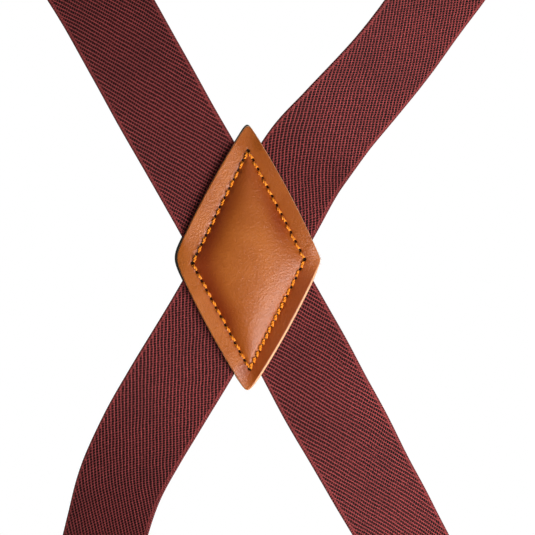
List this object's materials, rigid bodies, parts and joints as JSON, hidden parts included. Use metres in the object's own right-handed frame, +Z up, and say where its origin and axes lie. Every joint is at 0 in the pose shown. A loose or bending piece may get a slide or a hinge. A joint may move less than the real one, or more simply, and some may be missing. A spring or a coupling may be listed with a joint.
{
  "type": "suspenders",
  "caption": "Clip-on X-back dress suspenders: elastic webbing straps cross under a padded, stitched leather diamond patch, with strap adjusters and lever clips.",
  "frame": {"origin": "midway between the tops of the two shoulder arches, where the straps' middle lines cross the wearer's shoulders", "axes": "+Z up, +Y the way the wearer faces, +X towards the wearer's right; the leather crosspatch faces -Y"},
  "size_m": [0.3138, 0.2358, 0.5191],
  "materials": {
    "webbing": "burgundy twill elastic webbing, matt with a faint sheen",
    "patch_leather": "smooth cognac leather, soft gloss, fine grain",
    "patch_lining": "dark grey-green suede lining",
    "patch_padding": "off-white felt padding",
    "gold_thread": "waxed golden-orange thread",
    "wine_thread": "matt burgundy thread",
    "brass": "polished, lightly worn",
    "grip_rubber": "matt black, moulded"
  },
  "bodies": {
    "root": {"patch_lining": "patch_lining", "patch_padding": "patch_padding", "patch_face_leather": "patch_leather", "patch_stitching": "gold_thread", "left_rear_drop": "webbing", "left_back_strap": "webbing", "left_shoulder_strap": "webbing", "left_chest_strap": "webbing", "left_front_drop": "webbing", "right_rear_drop": "webbing", "right_back_strap": "webbing", "right_shoulder_strap": "webbing", "right_chest_strap": "webbing", "right_front_drop": "webbing"},
    "rear_left_end": {"rear_left_loop": "webbing", "rear_left_box_stitch": "wine_thread"},
    "rear_left_ring": {"rear_left_clip_ring": "brass"},
    "rear_left_clip": {"rear_left_clip_body": "brass", "rear_left_clip_grip_pad": "grip_rubber", "rear_left_clip_pin": "brass"},
    "rear_left_lever": {"rear_left_clip_lever": "brass", "rear_left_clip_lever_pad": "grip_rubber"},
    "rear_right_end": {"rear_right_loop": "webbing", "rear_right_box_stitch": "wine_thread"},
    "rear_right_ring": {"rear_right_clip_ring": "brass"},
    "rear_right_clip": {"rear_right_clip_body": "brass", "rear_right_clip_grip_pad": "grip_rubber", "rear_right_clip_pin": "brass"},
    "rear_right_lever": {"rear_right_clip_lever": "brass", "rear_right_clip_lever_pad": "grip_rubber"},
    "front_left_end": {"front_left_loop": "webbing", "front_left_tail": "webbing"},
    "front_left_ring": {"front_left_clip_ring": "brass"},
    "front_left_clip": {"front_left_clip_body": "brass", "front_left_clip_grip_pad": "grip_rubber", "front_left_clip_pin": "brass"},
    "front_left_lever": {"front_left_clip_lever": "brass", "front_left_clip_lever_pad": "grip_rubber"},
    "left_adjuster": {"left_adjuster_frame": "brass", "left_adjuster_pin": "brass", "front_left_tail_stitch": "wine_thread"},
    "left_gripper": {"left_adjuster_gripper": "brass"},
    "front_right_end": {"front_right_loop": "webbing", "front_right_tail": "webbing"},
    "front_right_ring": {"front_right_clip_ring": "brass"},
    "front_right_clip": {"front_right_clip_body": "brass", "front_right_clip_grip_pad": "grip_rubber", "front_right_clip_pin": "brass"},
    "front_right_lever": {"front_right_clip_lever": "brass", "front_right_clip_lever_pad": "grip_rubber"},
    "right_adjuster": {"right_adjuster_frame": "brass", "right_adjuster_pin": "brass", "front_right_tail_stitch": "wine_thread"},
    "right_gripper": {"right_adjuster_gripper": "brass"}
  },
  "joints": [
    {"name": "rear_left_stretch", "type": "slide", "parent": "root", "child": "rear_left_end", "axis": [0, 0, -1], "range_m": [0, 0.06], "stiffness_N_per_m": 200, "springref_m": -0.003, "deforming": ["right_rear_drop"]},
    {"name": "rear_left_ring_tilt", "type": "hinge", "parent": "rear_left_end", "child": "rear_left_ring", "pos_m": [-0.078, -0.094, -0.462], "axis": [0.9613, -0.2756, 0], "range_deg": [-40, 40]},
    {"name": "rear_left_clip_swing", "type": "hinge", "parent": "rear_left_ring", "child": "rear_left_clip", "pos_m": [-0.078, -0.094, -0.473], "axis": [0.9613, -0.2756, 0], "range_deg": [-75, 75]},
    {"name": "rear_left_lever_flip", "type": "hinge", "parent": "rear_left_clip", "child": "rear_left_lever", "pos_m": [-0.07841, -0.09544, -0.509], "axis": [0.9613, -0.2756, 0], "range_deg": [0, 90]},
    {"name": "rear_right_stretch", "type": "slide", "parent": "root", "child": "rear_right_end", "axis": [0, 0, -1], "range_m": [0, 0.06], "stiffness_N_per_m": 200, "springref_m": -0.003, "deforming": ["left_rear_drop"]},
    {"name": "rear_right_ring_tilt", "type": "hinge", "parent": "rear_right_end", "child": "rear_right_ring", "pos_m": [0.082, -0.094, -0.462], "axis": [0.9613, 0.2756, 0], "range_deg": [-40, 40]},
    {"name": "rear_right_clip_swing", "type": "hinge", "parent": "rear_right_ring", "child": "rear_right_clip", "pos_m": [0.082, -0.094, -0.473], "axis": [0.9613, 0.2756, 0], "range_deg": [-75, 75]},
    {"name": "rear_right_lever_flip", "type": "hinge", "parent": "rear_right_clip", "child": "rear_right_lever", "pos_m": [0.08241, -0.09544, -0.509], "axis": [0.9613, 0.2756, 0], "range_deg": [0, 90]},
    {"name": "front_left_length", "type": "slide", "parent": "root", "child": "front_left_end", "axis": [0, 0, 1], "range_m": [-0.05, 0.06], "deforming": ["left_front_drop"]},
    {"name": "left_adjuster_slide", "type": "slide", "parent": "front_left_end", "child": "left_adjuster", "axis": [0, 0, 1], "range_m": [-0.05, 0.06], "deforming": ["front_left_tail"]},
    {"name": "left_gripper_tilt", "type": "hinge", "parent": "left_adjuster", "child": "left_gripper", "pos_m": [-0.13581, 0.10863, -0.317], "axis": [0.9511, 0.309, 0], "range_deg": [0, 60]},
    {"name": "front_left_ring_tilt", "type": "hinge", "parent": "front_left_end", "child": "front_left_ring", "pos_m": [-0.136, 0.1092, -0.452], "axis": [-0.9511, -0.309, 0], "range_deg": [-40, 40]},
    {"name": "front_left_clip_swing", "type": "hinge", "parent": "front_left_ring", "child": "front_left_clip", "pos_m": [-0.136, 0.1092, -0.463], "axis": [-0.9511, -0.309, 0], "range_deg": [-75, 75]},
    {"name": "front_left_lever_flip", "type": "hinge", "parent": "front_left_clip", "child": "front_left_lever", "pos_m": [-0.13646, 0.11063, -0.499], "axis": [-0.9511, -0.309, 0], "range_deg": [0, 90]},
    {"name": "front_right_length", "type": "slide", "parent": "root", "child": "front_right_end", "axis": [0, 0, 1], "range_m": [-0.05, 0.06], "deforming": ["right_front_drop"]},
    {"name": "right_adjuster_slide", "type": "slide", "parent": "front_right_end", "child": "right_adjuster", "axis": [0, 0, 1], "range_m": [-0.05, 0.06], "deforming": ["front_right_tail"]},
    {"name": "right_gripper_tilt", "type": "hinge", "parent": "right_adjuster", "child": "right_gripper", "pos_m": [0.13581, 0.10863, -0.317], "axis": [0.9511, -0.309, 0], "range_deg": [0, 60]},
    {"name": "front_right_ring_tilt", "type": "hinge", "parent": "front_right_end", "child": "front_right_ring", "pos_m": [0.136, 0.1092, -0.452], "axis": [-0.9511, 0.309, 0], "range_deg": [-40, 40]},
    {"name": "front_right_clip_swing", "type": "hinge", "parent": "front_right_ring", "child": "front_right_clip", "pos_m": [0.136, 0.1092, -0.463], "axis": [-0.9511, 0.309, 0], "range_deg": [-75, 75]},
    {"name": "front_right_lever_flip", "type": "hinge", "parent": "front_right_clip", "child": "front_right_lever", "pos_m": [0.13646, 0.11063, -0.499], "axis": [-0.9511, 0.309, 0], "range_deg": [0, 90]}
  ],
  "couplings": [
    {"joint": "left_adjuster_slide", "follows": "front_left_length", "ratio": 1},
    {"joint": "right_adjuster_slide", "follows": "front_right_length", "ratio": 1}
  ]
}
